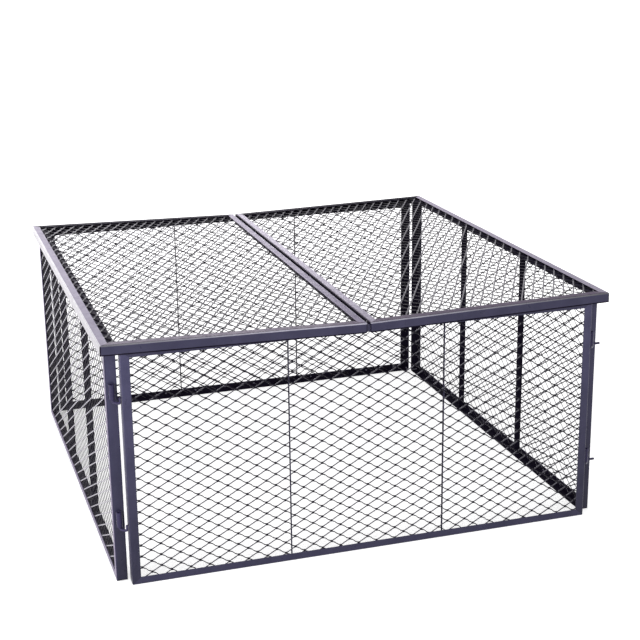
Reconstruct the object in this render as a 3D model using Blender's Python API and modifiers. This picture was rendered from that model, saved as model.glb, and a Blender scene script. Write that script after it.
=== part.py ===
# Compost bin: four expanded-mesh walls that hook together on pintle hinges, open at the
# bottom, with two mesh lids that lift off. The front wall faces -Y. Metres, +Z up, and the
# origin is at the centre of the base.

import math

import bmesh
import bpy
from mathutils import Matrix, Vector

# Overall sizes
LID_SPAN = 1.200          # both lids and the gap between them, along X
LID_DEPTH = 1.200         # along Y
LID_GAP = 0.006
END_HEIGHT = 0.548        # front and back walls
LID_RISE = 0.011          # the side walls are this much higher, so the lids slope to the middle

# How far the lids reach past the walls' outer faces
OVERHANG_SIDE = 0.012
OVERHANG_FRONT = 0.003

# Angle steel of the walls: the face lies in the wall's plane, the leg points inwards
PLATE = 0.002
STILE_FACE = 0.020
RAIL_FACE = 0.017
WALL_LEG = 0.025
HEEL_RADIUS = 0.0024
ROOT_RADIUS = 0.0012
ARC_STEPS = 3

# Angle steel of the lids: the face lies on top, the leg hangs down
LID_FACE = 0.025
LID_LEG = 0.023
NOTCH_CLEARANCE = 0.003   # from a middle rail's hanging leg to the walls

# Corner notch, where two walls meet without touching, and its hinges
NOTCH = 0.030
BARREL_DIAMETER = 0.013
BARREL_LENGTH = 0.035
BARREL_BORE = 0.0072
BARREL_CHAMFER = 0.0008
BARREL_SIDES = 16
BARREL_BOTTOMS = {"lower": 0.135, "upper": 0.433}
ROD_DIAMETER = 0.006
ROD_BEND = 0.006
ROD_INSET = 0.009         # from the wall's outer face to the welded end of the rod
ROD_WELD_LENGTH = 0.015
PIN_SHORT_OF_BARREL = 0.003
BEND_STEPS = 4
SHARP_ANGLE = math.radians(35)

# Expanded mesh, drawn coarser than the real 44 x 26 mm diamonds
NET_THICKNESS = 0.0016
NET_STRAND = 0.003
NET_LONG_WAY = 0.175
NET_SHORT_WAY = 0.104
NET_CLEARANCE = 0.0009

# Upright flat bars behind each wall's mesh, deeper on the side walls
END_BAR_DEPTH = 0.006
SIDE_BAR_DEPTH = 0.017
BAR_THICKNESS = 0.0022
BAR_EDGE = 0.0003
BARS_PER_WALL = 2

FIT = 0.0003              # between pieces that touch
MITRE_GAP = 0.0003
CUT_MARGIN = 0.020        # how far a raw length or a cutter runs past the finished end

FRAME_COLOUR = (0.062, 0.054, 0.098)
NET_COLOUR = (0.040, 0.038, 0.050)
HINGE_COLOUR = (0.045, 0.040, 0.072)

# What follows from the sizes above
END_PLANE = LID_DEPTH / 2 - OVERHANG_FRONT
SIDE_PLANE = LID_SPAN / 2 - OVERHANG_SIDE
NET_FRONT = PLATE + FIT
NET_BACK = NET_FRONT + NET_THICKNESS
NET_MIDDLE = (NET_FRONT + NET_BACK) / 2
BARREL_RADIUS = BARREL_DIAMETER / 2
ROD_RADIUS = ROD_DIAMETER / 2
ARM_DROP = FIT + ROD_BEND  # from a barrel's lower end to the middle of the arm under it

END_LENGTH = 2 * (SIDE_PLANE - NOTCH)
SIDE_LENGTH = 2 * (END_PLANE - NOTCH)
SIDE_HEIGHT = END_HEIGHT + LID_RISE
TURN = math.radians(90)

# The walls in turn, anticlockwise from above
END_WALL = {
    "plane": END_PLANE, "length": END_LENGTH, "height": END_HEIGHT, "bar_depth": END_BAR_DEPTH,
}
SIDE_WALL = {
    "plane": SIDE_PLANE, "length": SIDE_LENGTH, "height": SIDE_HEIGHT, "bar_depth": SIDE_BAR_DEPTH,
}
WALLS = [
    {"name": "front", **END_WALL},
    {"name": "right", **SIDE_WALL},
    {"name": "back", **END_WALL},
    {"name": "left", **SIDE_WALL},
]


def clear_scene():
    for obj in list(bpy.data.objects):
        bpy.data.objects.remove(obj, do_unlink=True)


def new_collection(name):
    collection = bpy.data.collections.new(name)
    bpy.context.scene.collection.children.link(collection)
    return collection


def coat(obj, colour, roughness=0.42, metallic=0.0):
    """Powder-coated steel in the object's own material."""
    material = bpy.data.materials.new(obj.name + "_coat")
    material.use_nodes = True
    shader = material.node_tree.nodes["Principled BSDF"]
    shader.inputs["Base Color"].default_value = (*colour, 1.0)
    shader.inputs["Roughness"].default_value = roughness
    shader.inputs["Metallic"].default_value = metallic
    material.diffuse_color = (*colour, 1.0)
    obj.data.materials.append(material)


def place(name, data, collection, parent, location=(0, 0, 0), rotation=(0, 0, 0)):
    obj = bpy.data.objects.new(name, data)
    collection.objects.link(obj)
    obj.parent = parent
    obj.location = location
    obj.rotation_euler = rotation
    return obj


def tidy_mesh(bm, mesh):
    """Weld what coincides, face everything outwards and write it back."""
    bmesh.ops.remove_doubles(bm, verts=bm.verts, dist=1e-6)
    bmesh.ops.recalc_face_normals(bm, faces=bm.faces)
    bm.to_mesh(mesh)
    bm.free()


def extruded_outline(outlines, thickness):
    """A flat outline with any holes, as a mesh on both sides of the XY plane."""
    curve = bpy.data.curves.new("outline", "CURVE")
    curve.dimensions = "2D"
    curve.fill_mode = "BOTH"
    curve.extrude = thickness / 2
    for points in outlines:
        spline = curve.splines.new("POLY")
        spline.points.add(len(points) - 1)
        for point, (x, y) in zip(spline.points, points):
            point.co = (x, y, 0.0, 1.0)
        spline.use_cyclic_u = True
    helper = bpy.data.objects.new("outline", curve)
    bpy.context.scene.collection.objects.link(helper)
    graph = bpy.context.evaluated_depsgraph_get()
    mesh = bpy.data.meshes.new_from_object(helper.evaluated_get(graph))
    bpy.data.objects.remove(helper)
    bpy.data.curves.remove(curve)
    bm = bmesh.new()
    bm.from_mesh(mesh)
    tidy_mesh(bm, mesh)
    return mesh


def arc(centre, radius, start, end):
    """Points on a quarter turn, from one angle to another."""
    angles = [start + (end - start) * step / ARC_STEPS for step in range(ARC_STEPS + 1)]
    return [(centre[0] + radius * math.cos(a), centre[1] + radius * math.sin(a)) for a in angles]


def angle_section(face, leg):
    """Outline of angle steel: heel at the origin, face along +X, leg along +Y."""
    heel = arc((HEEL_RADIUS, HEEL_RADIUS), HEEL_RADIUS, math.pi, 1.5 * math.pi)
    root = PLATE + ROOT_RADIUS
    fillet = arc((root, root), ROOT_RADIUS, 1.5 * math.pi, math.pi)
    return heel + [(face, 0.0), (face, PLATE)] + fillet + [(PLATE, leg), (0.0, leg)]


def cut_mesh(mesh, point, normal):
    """Take off what lies beyond a plane and close the cut."""
    bm = bmesh.new()
    bm.from_mesh(mesh)
    everything = bm.verts[:] + bm.edges[:] + bm.faces[:]
    cut = bmesh.ops.bisect_plane(
        bm, geom=everything, dist=1e-7, plane_co=point, plane_no=normal, clear_outer=True
    )["geom_cut"]
    edges = [item for item in cut if isinstance(item, bmesh.types.BMEdge)]
    bmesh.ops.edgenet_fill(bm, edges=edges)
    tidy_mesh(bm, mesh)


def mitred_angle(length, face, leg, next_face):
    """One side of a welded angle frame, along Z, with both ends cut on the corner's diagonal."""
    mesh = extruded_outline([angle_section(face, leg)], length + 2 * CUT_MARGIN)
    for end in (-1, 1):
        normal = Vector((next_face, 0.0, end * face)).normalized()
        corner = Vector((0.0, 0.0, end * length / 2))
        cut_mesh(mesh, corner - normal * MITRE_GAP / 2, normal)
    return mesh


def angle_frame(prefix, names, width, height, faces, leg, collection, parent):
    """Four mitred sides in the parent's XZ plane, with the legs along +Y.

    names and faces run left, top, right, bottom. The frame's centre is at height / 2.
    """
    made = []
    for side, name in enumerate(names):
        upright = side % 2 == 0
        length = height if upright else width
        reach = (width if upright else height) / 2
        mesh = mitred_angle(length, faces[side], leg, faces[(side + 1) % 4])
        turn = side * TURN
        # A side's heel lies on the frame's outer edge, and its face points to the middle.
        location = (-reach * math.cos(turn), 0.0, height / 2 + reach * math.sin(turn))
        rail = place(f"{prefix}_{name}", mesh, collection, parent, location, (0.0, turn, 0.0))
        coat(rail, FRAME_COLOUR)
        made.append(rail)
    return made


def clipped(points, axis, limit, sign):
    """The part of a convex outline on the inner side of one straight edge."""
    kept = []
    for here, ahead in zip(points, points[1:] + points[:1]):
        a = sign * (limit - here[axis])
        b = sign * (limit - ahead[axis])
        if a >= 0:
            kept.append(here)
        if a * b < 0:
            share = a / (a - b)
            kept.append(tuple(h + (n - h) * share for h, n in zip(here, ahead)))
    return kept


def net_outline(width, height, rim_x, rim_y):
    """A rectangle with rows of staggered diamonds, whole, half or quartered by the rim."""
    field = (width - 2 * rim_x, height - 2 * rim_y)
    counts = [max(1, round(field[0] / NET_LONG_WAY)), max(1, round(field[1] / NET_SHORT_WAY))]
    half = [field[axis] / counts[axis] / 2 for axis in (0, 1)]
    # Strands of one width on every side leave a hole that is smaller than its diamond.
    lean = math.hypot(half[0], half[1])
    hole = [half[0] - NET_STRAND / 2 * lean / half[1], half[1] - NET_STRAND / 2 * lean / half[0]]
    outlines = [[(sx * width / 2, sy * height / 2) for sx, sy in ((-1, -1), (1, -1), (1, 1), (-1, 1))]]
    for column in range(2 * counts[0] + 1):
        for row in range(2 * counts[1] + 1):
            if (column + row) % 2:
                continue
            x = -field[0] / 2 + column * half[0]
            y = -field[1] / 2 + row * half[1]
            diamond = [(x + hole[0], y), (x, y + hole[1]), (x - hole[0], y), (x, y - hole[1])]
            for axis in (0, 1):
                for sign in (-1, 1):
                    diamond = clipped(diamond, axis, sign * field[axis] / 2, sign)
            outlines.append(diamond)
    return outlines


def net(name, size, faces, collection, parent, location, rotation):
    """A flat sheet of expanded mesh inside a frame of this outer size and these faces."""
    inset = PLATE + NET_CLEARANCE
    width, height = (length - 2 * inset for length in size)
    outline = net_outline(width, height, faces[0] - inset, faces[1] - inset)
    mesh = extruded_outline(outline, NET_THICKNESS)
    sheet = place(name, mesh, collection, parent, location, rotation)
    coat(sheet, NET_COLOUR)


def flat_bar(name, height, depth, across, collection, parent):
    """A flat bar standing on edge against the back of a wall's mesh."""
    bm = bmesh.new()
    bmesh.ops.create_cube(bm, size=1.0)
    bmesh.ops.scale(bm, vec=(BAR_THICKNESS, depth, height - 2 * (PLATE + FIT)), verts=bm.verts)
    mesh = bpy.data.meshes.new(name)
    bm.to_mesh(mesh)
    bm.free()
    location = (across, NET_BACK + FIT + depth / 2, height / 2)
    bar = place(name, mesh, collection, parent, location)
    edge = bar.modifiers.new("broken edges", "BEVEL")
    edge.width = BAR_EDGE
    edge.segments = 1
    coat(bar, FRAME_COLOUR)


def turned(profile, sides):
    """A closed profile of radius and height, turned about Z."""
    mesh = bpy.data.meshes.new("profile")
    edges = [(i, (i + 1) % len(profile)) for i in range(len(profile))]
    mesh.from_pydata([(radius, 0.0, z) for radius, z in profile], edges, [])
    helper = bpy.data.objects.new("profile", mesh)
    bpy.context.scene.collection.objects.link(helper)
    screw = helper.modifiers.new("turned", "SCREW")
    screw.steps = sides
    screw.render_steps = sides
    screw.merge_threshold = 1e-5
    graph = bpy.context.evaluated_depsgraph_get()
    result = bpy.data.meshes.new_from_object(helper.evaluated_get(graph))
    bpy.data.objects.remove(helper)
    result.shade_smooth()
    result.set_sharp_from_angle(angle=SHARP_ANGLE)
    return result


def barrel(name, collection, parent, location):
    """The hinge tube that is welded to a stile."""
    half = BARREL_LENGTH / 2
    bore = BARREL_BORE / 2
    shoulder = BARREL_RADIUS - BARREL_CHAMFER
    profile = [
        (bore, half),
        (shoulder, half),
        (BARREL_RADIUS, half - BARREL_CHAMFER),
        (BARREL_RADIUS, BARREL_CHAMFER - half),
        (shoulder, -half),
        (bore, -half),
    ]
    tube = place(name, turned(profile, BARREL_SIDES), collection, parent, location)
    coat(tube, HINGE_COLOUR)


def bent_path(corners, bend):
    """A line through the corners, with each inner corner rounded by an arc."""
    points = [corners[0]]
    for before, corner, after in zip(corners, corners[1:], corners[2:]):
        back = (before - corner).normalized()
        ahead = (after - corner).normalized()
        half_angle = back.angle(ahead) / 2
        set_back = bend / math.tan(half_angle)
        centre = corner + (back + ahead).normalized() * bend / math.sin(half_angle)
        start = corner + back * set_back - centre
        axis = start.cross(corner + ahead * set_back - centre).normalized()
        sweep = math.pi - 2 * half_angle
        for step in range(BEND_STEPS + 1):
            points.append(centre + Matrix.Rotation(sweep * step / BEND_STEPS, 3, axis) @ start)
    points.append(corners[-1])
    return points


def pintle(name, pivot, weld, arm_z, collection, parent):
    """A bent rod: a short end welded to its stile, an arm, and a pin that points up."""
    top = arm_z + ARM_DROP + BARREL_LENGTH - PIN_SHORT_OF_BARREL
    corners = [
        Vector((weld[0], weld[1], arm_z + ROD_WELD_LENGTH)),
        Vector((weld[0], weld[1], arm_z)),
        Vector((pivot[0], pivot[1], arm_z)),
        Vector((pivot[0], pivot[1], top)),
    ]
    points = bent_path(corners, ROD_BEND)
    curve = bpy.data.curves.new(name, "CURVE")
    curve.dimensions = "3D"
    curve.bevel_depth = ROD_RADIUS
    curve.bevel_resolution = 2
    curve.use_fill_caps = True
    spline = curve.splines.new("POLY")
    spline.points.add(len(points) - 1)
    for point, at in zip(spline.points, points):
        point.co = (*at, 1.0)
        point.radius = 1.0
    spline.use_smooth = True
    rod = place(name, curve, collection, parent)
    coat(rod, HINGE_COLOUR)


def build_wall(index, collection):
    """One wall panel with its mesh, bars, barrels at one end and pintles at the other.

    The wall's own frame has X along it to the right as seen from outside, Y inwards and Z up.
    """
    wall = WALLS[index]
    name, plane, length, height = wall["name"], wall["plane"], wall["length"], wall["height"]
    turn = index * TURN
    outside = Matrix.Rotation(turn, 3, "Z") @ Vector((0.0, -plane, 0.0))
    base = place(f"{name}_wall", None, collection, None, outside, (0.0, 0.0, turn))

    angle_frame(
        f"{name}_wall", ("left_stile", "top_rail", "right_stile", "bottom_rail"), length, height,
        (STILE_FACE, RAIL_FACE, STILE_FACE, RAIL_FACE), WALL_LEG, collection, base,
    )
    net(
        f"{name}_wall_mesh", (length, height), (STILE_FACE, RAIL_FACE),
        collection, base, (0.0, NET_MIDDLE, height / 2), (TURN, 0.0, 0.0),
    )
    for number in range(1, BARS_PER_WALL + 1):
        across = length * number / (BARS_PER_WALL + 1) - length / 2
        flat_bar(f"{name}_wall_bar_{number}", height, wall["bar_depth"], across, collection, base)

    # The barrels stand against the right-hand stile, in the notch.
    pivot = (length / 2 + FIT + BARREL_RADIUS, WALL_LEG / 2)
    for level, bottom in BARREL_BOTTOMS.items():
        barrel(f"{name}_{level}_barrel", collection, base, (*pivot, bottom + BARREL_LENGTH / 2))

    # The pintles reach from the left-hand stile to the pivot of the wall before this one.
    before = WALLS[index - 1]
    before_pivot = (before["length"] / 2 + FIT + BARREL_RADIUS, WALL_LEG / 2)
    reach = (before_pivot[1] - before["plane"], plane - before_pivot[0])
    weld = (-length / 2 - FIT - ROD_RADIUS, ROD_INSET)
    for level, bottom in BARREL_BOTTOMS.items():
        pintle(f"{name}_{level}_pintle", reach, weld, bottom - ARM_DROP, collection, base)


def notch_cutter(name, parent, across, along, size, cutters):
    """A box that takes the end off a hanging leg."""
    bm = bmesh.new()
    bmesh.ops.create_cube(bm, size=1.0)
    bmesh.ops.scale(bm, vec=size, verts=bm.verts)
    mesh = bpy.data.meshes.new(name)
    bm.to_mesh(mesh)
    bm.free()
    cutter = place(name, mesh, cutters, parent, (across, PLATE + FIT + size[1] / 2, along))
    cutter.hide_render = True
    cutter.display_type = "WIRE"
    return cutter


def build_lid(name, turn, collection, cutters):
    """One lid, whose own frame has X from the middle outwards, Y down and Z across its depth."""
    width = (LID_SPAN - LID_GAP) / 2
    slope = math.atan(LID_RISE / (SIDE_PLANE - WALL_LEG - LID_GAP / 2))
    top = END_HEIGHT + FIT + NET_BACK
    inner_edge = Matrix.Rotation(turn, 3, "Z") @ Vector((LID_GAP / 2, 0.0, top))
    base = place(name, None, collection, None, inner_edge, (-TURN, -slope, turn))
    centre = place(f"{name}_centre", None, collection, base, (width / 2, 0.0, 0.0))
    corner = place(f"{name}_edge", None, collection, centre, (0.0, 0.0, -LID_DEPTH / 2))

    ends = ("back_rail", "front_rail") if turn == 0.0 else ("front_rail", "back_rail")
    middle_rail = angle_frame(
        name, ("middle_rail", ends[0], "outer_rail", ends[1]), width, LID_DEPTH,
        (LID_FACE,) * 4, LID_LEG, collection, corner,
    )[0]

    # The middle rail's leg stops short of the walls, so that its face can lie on them.
    free = END_PLANE - WALL_LEG - NOTCH_CLEARANCE
    size = (2 * CUT_MARGIN, LID_LEG, LID_DEPTH / 2 - free + CUT_MARGIN)
    across = PLATE + ROOT_RADIUS + FIT - width / 2 - size[0] / 2
    for end, side in ((1, ends[0]), (-1, ends[1])):
        along = end * (free + size[2] / 2)
        notch = middle_rail.modifiers.new(f"notch at the {side}", "BOOLEAN")
        notch.object = notch_cutter(f"{name}_{side}_notch", centre, across, along, size, cutters)

    net(
        f"{name}_mesh", (LID_DEPTH, width), (LID_FACE, LID_FACE),
        collection, centre, (0.0, NET_MIDDLE, 0.0), (-TURN, -TURN, 0.0),
    )


def main():
    clear_scene()
    bin_parts = new_collection("compost_bin")
    cutters = new_collection("compost_bin_cutters")
    for index in range(len(WALLS)):
        build_wall(index, bin_parts)
    build_lid("right_lid", 0.0, bin_parts, cutters)
    build_lid("left_lid", math.pi, bin_parts, cutters)
    bpy.context.view_layer.update()
    print(f"walls {len(WALLS)}, nodes {sum(o.type != 'EMPTY' for o in bin_parts.objects)}")


main()
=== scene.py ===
import math

import bmesh
import bpy
import numpy as np
from mathutils import Matrix, Vector


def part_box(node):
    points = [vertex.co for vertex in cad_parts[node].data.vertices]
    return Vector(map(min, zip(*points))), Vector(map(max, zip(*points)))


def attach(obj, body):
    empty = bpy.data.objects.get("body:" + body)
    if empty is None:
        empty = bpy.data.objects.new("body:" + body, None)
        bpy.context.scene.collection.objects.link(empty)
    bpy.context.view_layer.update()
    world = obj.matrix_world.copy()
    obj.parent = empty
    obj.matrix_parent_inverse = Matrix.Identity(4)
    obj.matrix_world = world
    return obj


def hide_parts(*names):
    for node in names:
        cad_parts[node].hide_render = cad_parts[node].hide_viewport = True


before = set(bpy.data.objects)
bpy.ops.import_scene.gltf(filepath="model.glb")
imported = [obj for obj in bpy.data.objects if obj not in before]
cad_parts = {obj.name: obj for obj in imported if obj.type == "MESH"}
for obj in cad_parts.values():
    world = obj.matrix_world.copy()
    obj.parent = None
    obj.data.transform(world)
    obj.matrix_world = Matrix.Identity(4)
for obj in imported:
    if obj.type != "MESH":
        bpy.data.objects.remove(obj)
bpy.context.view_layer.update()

# Compost bin of powder-coated angle steel and expanded mesh, in metres, +Z up.
# Four walls hook together on pintle hinges, and two lids lift off them.

scene = bpy.context.scene
wallTurns = {"front": 0, "right": 90, "back": 180, "left": 270}  # degrees about +Z
lidTurns = {"right_lid": 0, "left_lid": 180}
frameSides = ("left_stile", "top_rail", "right_stile", "bottom_rail")
lidSides = ("middle_rail", "front_rail", "outer_rail", "back_rail")


# Camera and stage

cameraLook = {
    "place": (-0.9975, -3.3704, 1.4507),
    "turn": 17.681,        # degrees to the right of +Y
    "down": 16.828,
    "roll": -0.699,
    "lens": 77.846,        # mm, on film of the width below
    "film": 36.0,
    "seesTo": 200.0,
}

stageLook = {
    "floorColour": (0.80, 0.80, 0.80),
    "floorReach": 40.0,
    "floorDrop": 0.0003,   # keeps the floor clear of the rails that stand on it
    "nearGlow": 0.55,      # what the camera sees under the bin, beside the lamps' light
    "glowFrom": 0.9,       # how far from the bin's middle that starts to rise
    "glowTo": 2.6,         # and where it has become plain white
    "airLight": 0.55,
}

# Each lamp: place, what it faces, width and height, brightness (1 is white), colour
lamps = {
    "leftWindow": ((-3.6, -2.6, 2.4), (0.0, 0.0, 0.3), (2.6, 2.2), 2.0, (1.0, 1.0, 1.0)),
    "leftSide": ((-2.5, -1.5, 0.7), (-0.6, -0.6, 0.4), (1.8, 1.2), 4.4, (1.0, 1.0, 1.0)),
    "frontFill": ((0.2, -2.5, 1.9), (0.0, -0.6, 0.4), (2.6, 0.7), 2.0, (1.0, 1.0, 1.0)),
    "backWindow": ((0.2, 5.2, 2.1), (0.0, 0.0, 0.5), (3.4, 1.8), 3.2, (0.96, 0.93, 1.0)),
    "leftBack": ((-2.6, 4.2, 0.9), (-0.2, 0.0, 0.4), (3.0, 1.7), 4.5, (0.97, 0.95, 1.0)),
    "overhead": ((0.0, -1.0, 3.4), (0.0, -0.4, 0.5), (3.0, 0.5), 6.0, (1.0, 1.0, 1.0)),
}


def makeCamera(look):
    turn, down, roll = (math.radians(look[key]) for key in ("turn", "down", "roll"))
    ahead = Vector((math.sin(turn) * math.cos(down), math.cos(turn) * math.cos(down), -math.sin(down)))
    right = Vector((math.cos(turn), -math.sin(turn), 0.0))
    up = right.cross(ahead)
    rolledRight = right * math.cos(roll) + up * math.sin(roll)
    rolledUp = up * math.cos(roll) - right * math.sin(roll)
    data = bpy.data.cameras.new("camera")
    data.lens = look["lens"]
    data.sensor_width = look["film"]
    data.clip_end = look["seesTo"]
    camera = bpy.data.objects.new("camera", data)
    scene.collection.objects.link(camera)
    axes = Matrix((rolledRight, rolledUp, -ahead)).transposed().to_4x4()
    camera.matrix_world = Matrix.Translation(look["place"]) @ axes
    scene.camera = camera


def makeLamp(name, place, target, size, brightness, colour):
    data = bpy.data.lights.new(name, "AREA")
    data.shape = "RECTANGLE"
    data.size, data.size_y = size
    data.energy = brightness * math.pi * size[0] * size[1]
    data.color = colour
    lamp = bpy.data.objects.new(name, data)
    scene.collection.objects.link(lamp)
    lamp.location = place
    lamp.rotation_euler = (Vector(target) - Vector(place)).to_track_quat("-Z", "Y").to_euler()
    lamp.visible_camera = False


def seenDirectly(tree):
    # 1 for the camera, mirror and glass rays, which see the plain white stage
    path = tree.nodes.new("ShaderNodeLightPath")
    total = path.outputs["Is Camera Ray"]
    for kind in ("Is Glossy Ray", "Is Transmission Ray"):
        add = tree.nodes.new("ShaderNodeMath")
        add.operation = "ADD"
        add.use_clamp = True
        tree.links.new(total, add.inputs[0])
        tree.links.new(path.outputs[kind], add.inputs[1])
        total = add.outputs[0]
    return total


def makeWorld(look):
    world = bpy.data.worlds.new("studio")
    scene.world = world
    world.use_nodes = True
    tree = world.node_tree
    air = tree.nodes["Background"]
    air.inputs["Color"].default_value = (1.0, 1.0, 1.0, 1.0)
    air.inputs["Strength"].default_value = look["airLight"]
    white = tree.nodes.new("ShaderNodeBackground")
    white.inputs["Color"].default_value = (1.0, 1.0, 1.0, 1.0)
    white.inputs["Strength"].default_value = 1.0
    mix = tree.nodes.new("ShaderNodeMixShader")
    tree.links.new(seenDirectly(tree), mix.inputs[0])
    tree.links.new(air.outputs[0], mix.inputs[1])
    tree.links.new(white.outputs[0], mix.inputs[2])
    tree.links.new(mix.outputs[0], tree.nodes["World Output"].inputs["Surface"])


def makeFloor(look):
    reach = look["floorReach"]
    mesh = bpy.data.meshes.new("floor")
    corners = [(-reach, -reach, 0), (reach, -reach, 0), (reach, reach, 0), (-reach, reach, 0)]
    mesh.from_pydata(corners, [], [(0, 1, 2, 3)])
    floor = bpy.data.objects.new("floor", mesh)
    scene.collection.objects.link(floor)
    floor.location.z = -look["floorDrop"]
    material = bpy.data.materials.new("paleFloor")
    material.use_nodes = True
    tree = material.node_tree
    tree.nodes.clear()
    paint = tree.nodes.new("ShaderNodeBsdfDiffuse")
    paint.inputs["Color"].default_value = (*look["floorColour"], 1.0)
    glow = tree.nodes.new("ShaderNodeEmission")
    place = tree.nodes.new("ShaderNodeTexCoord")
    distance = tree.nodes.new("ShaderNodeVectorMath")
    distance.operation = "LENGTH"
    fade = tree.nodes.new("ShaderNodeMapRange")
    fade.interpolation_type = "SMOOTHSTEP"
    fade.inputs["From Min"].default_value = look["glowFrom"]
    fade.inputs["From Max"].default_value = look["glowTo"]
    fade.inputs["To Min"].default_value = look["nearGlow"]
    fade.inputs["To Max"].default_value = 1.0
    level = tree.nodes.new("ShaderNodeMath")
    level.operation = "MULTIPLY"
    total = tree.nodes.new("ShaderNodeAddShader")
    out = tree.nodes.new("ShaderNodeOutputMaterial")
    tree.links.new(place.outputs["Object"], distance.inputs[0])
    tree.links.new(distance.outputs["Value"], fade.inputs["Value"])
    tree.links.new(fade.outputs["Result"], level.inputs[0])
    tree.links.new(seenDirectly(tree), level.inputs[1])
    tree.links.new(level.outputs[0], glow.inputs["Strength"])
    tree.links.new(paint.outputs[0], total.inputs[0])
    tree.links.new(glow.outputs[0], total.inputs[1])
    tree.links.new(total.outputs[0], out.inputs["Surface"])
    floor.data.materials.append(material)


makeCamera(cameraLook)
makeWorld(stageLook)
makeFloor(stageLook)
for lampName, lampSetting in lamps.items():
    makeLamp(lampName, *lampSetting)
scene.view_settings.view_transform = "Standard"
print("stage and camera are up")


# Finishes

# In a coat, colour and second mix in clouds, speck is the colour of its specks and worn is how strong
# they are. Rough is from and to, peel and grain are its bumps, shine is its gloss, and dust and sheen,
# in its own colour, shows at a grazing view; copies with more of it paint sheen. Fade is an axis, from
# and to along it, and the colours' strength at both places, with which a coat paints light and shade.
outerCoat = {
    "colour": (0.031, 0.029, 0.064), "second": (0.040, 0.037, 0.078), "speck": (0.115, 0.105, 0.150),
    "rough": (0.26, 0.40), "peel": 0.08, "grain": 0.12, "shine": 0.20, "worn": 0.45,
    "dust": 0.22, "dustAndSheenColour": (0.84, 0.78, 1.0), "fade": None,
}
# Painted shade and light: the stiles' colour is scaled from 0.60 at the floor to 1.55 at 0.55 m up
paintedLightAndShadeStileCoat = {**outerCoat, "fade": (2, 0.0, 0.55, 0.60, 1.55)}
# Painted light: a lighter, glossier copy with full white sheen, for the left lid's outer leg and bend
paintedLightFlangeCoat = {
    **outerCoat, "colour": (0.050, 0.047, 0.070), "second": (0.062, 0.058, 0.084),
    "shine": 0.60, "dust": 1.0, "dustAndSheenColour": (1.0, 0.97, 1.0),
}
# Painted sheen: lit copies with more lavender sheen, on the lids' long rails' tops and the left wall's
# outer faces; the stronger one is on the right lid
paintedSheenCoat = {**outerCoat, "shine": 0.10, "dust": 0.50, "dustAndSheenColour": (0.87, 0.70, 1.0)}
strongPaintedSheenCoat = {**paintedSheenCoat, "shine": 0.20, "dust": 0.85, "dustAndSheenColour": (0.92, 0.80, 1.0)}
# Painted shade: a darker, mauve-tinted copy with little gloss or sheen, for the tops of the lids' front
# rails, the right lid's outer bend and the strip beside its middle rail's bend
paintedShadeMauveCoat = {
    **outerCoat, "colour": (0.040, 0.026, 0.056), "second": (0.052, 0.035, 0.070), "shine": 0.05,
    "dust": 0.11, "dustAndSheenColour": (0.95, 0.74, 1.0),
}
# Painted highlight: a pale copy for the bends of the lids' front rails and the left lid's middle rail; the
# left and right copies are scaled along X, brightest towards the bin's middle
paintedHighlightCoat = {
    **outerCoat, "colour": (0.300, 0.285, 0.370), "second": (0.400, 0.385, 0.470),
    "speck": (0.20, 0.19, 0.25), "shine": 0.50, "dust": 0.5,
}
leftPaintedHighlightCoat = {**paintedHighlightCoat, "dust": 0.2, "fade": (0, -0.6, -0.15, 0.25, 0.95)}
rightPaintedHighlightCoat = {**paintedHighlightCoat, "dust": 0.2, "fade": (0, 0.0, 0.6, 0.80, 0.20)}
# Painted shade: a near-black copy with almost no gloss or sheen, for the frames' inner faces and for faces
# in shade, such as the lids' back rails' tops and the wall top rails' legs under the lids
paintedShadeCoat = {
    "colour": (0.008, 0.006, 0.014), "second": (0.011, 0.009, 0.019), "speck": (0.040, 0.036, 0.056),
    "rough": (0.36, 0.52), "peel": 0.10, "grain": 0.16, "shine": 0.01, "worn": 0.45, "fade": None,
    "dust": 0.0, "dustAndSheenColour": (0.86, 0.80, 1.0),
}
# Strands come in lit and shaded copies: the rising strands take this coat, the lids' grey copy or the left
# wall's painted-light copy, and the falling strands and the bonds take painted shade
strandCoat = {
    "colour": (0.034, 0.032, 0.042), "second": (0.046, 0.043, 0.056), "speck": (0.090, 0.086, 0.104),
    "rough": (0.30, 0.44), "peel": 0.06, "grain": 0.10, "shine": 0.40, "worn": 0.30, "fade": None,
    "dust": 1.0, "dustAndSheenColour": (0.93, 0.89, 1.0),
}
greyStrandCoat = {
    **strandCoat, "colour": (0.024, 0.022, 0.030), "second": (0.034, 0.031, 0.042), "dust": 0.55,
}
# Painted light: a lighter, glossier copy for the left wall's rising strands
paintedLightStrandCoat = {
    **strandCoat, "colour": (0.070, 0.066, 0.082), "second": (0.090, 0.085, 0.104), "shine": 0.60,
}
# Painted shade: a darker copy with little gloss or sheen, for the falling strands and the bonds
paintedShadeStrandCoat = {
    **strandCoat, "colour": (0.012, 0.011, 0.016), "second": (0.018, 0.016, 0.023),
    "shine": 0.06, "dust": 0.12,
}
hingeCoat = {
    "colour": (0.026, 0.021, 0.062), "second": (0.036, 0.030, 0.078), "speck": (0.090, 0.083, 0.130),
    "rough": (0.20, 0.32), "peel": 0.08, "grain": 0.10, "shine": 0.14, "worn": 0.60, "fade": None,
    "dust": 0.10, "dustAndSheenColour": (0.86, 0.80, 1.0),
}
# Painted shade: a near-black copy with little gloss, for the front wall's barrels
paintedShadeHingeCoat = {
    **hingeCoat, "colour": (0.008, 0.006, 0.018), "second": (0.012, 0.010, 0.026),
    "shine": 0.05, "dust": 0.0,
}
weldCoat = {
    "colour": (0.036, 0.032, 0.056), "second": (0.060, 0.054, 0.086), "speck": (0.150, 0.140, 0.180),
    "rough": (0.20, 0.34), "peel": 0.25, "grain": 0.26, "shine": 0.60, "worn": 0.50, "fade": None,
    "dust": 0.20, "dustAndSheenColour": (0.86, 0.80, 1.0),
}

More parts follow.
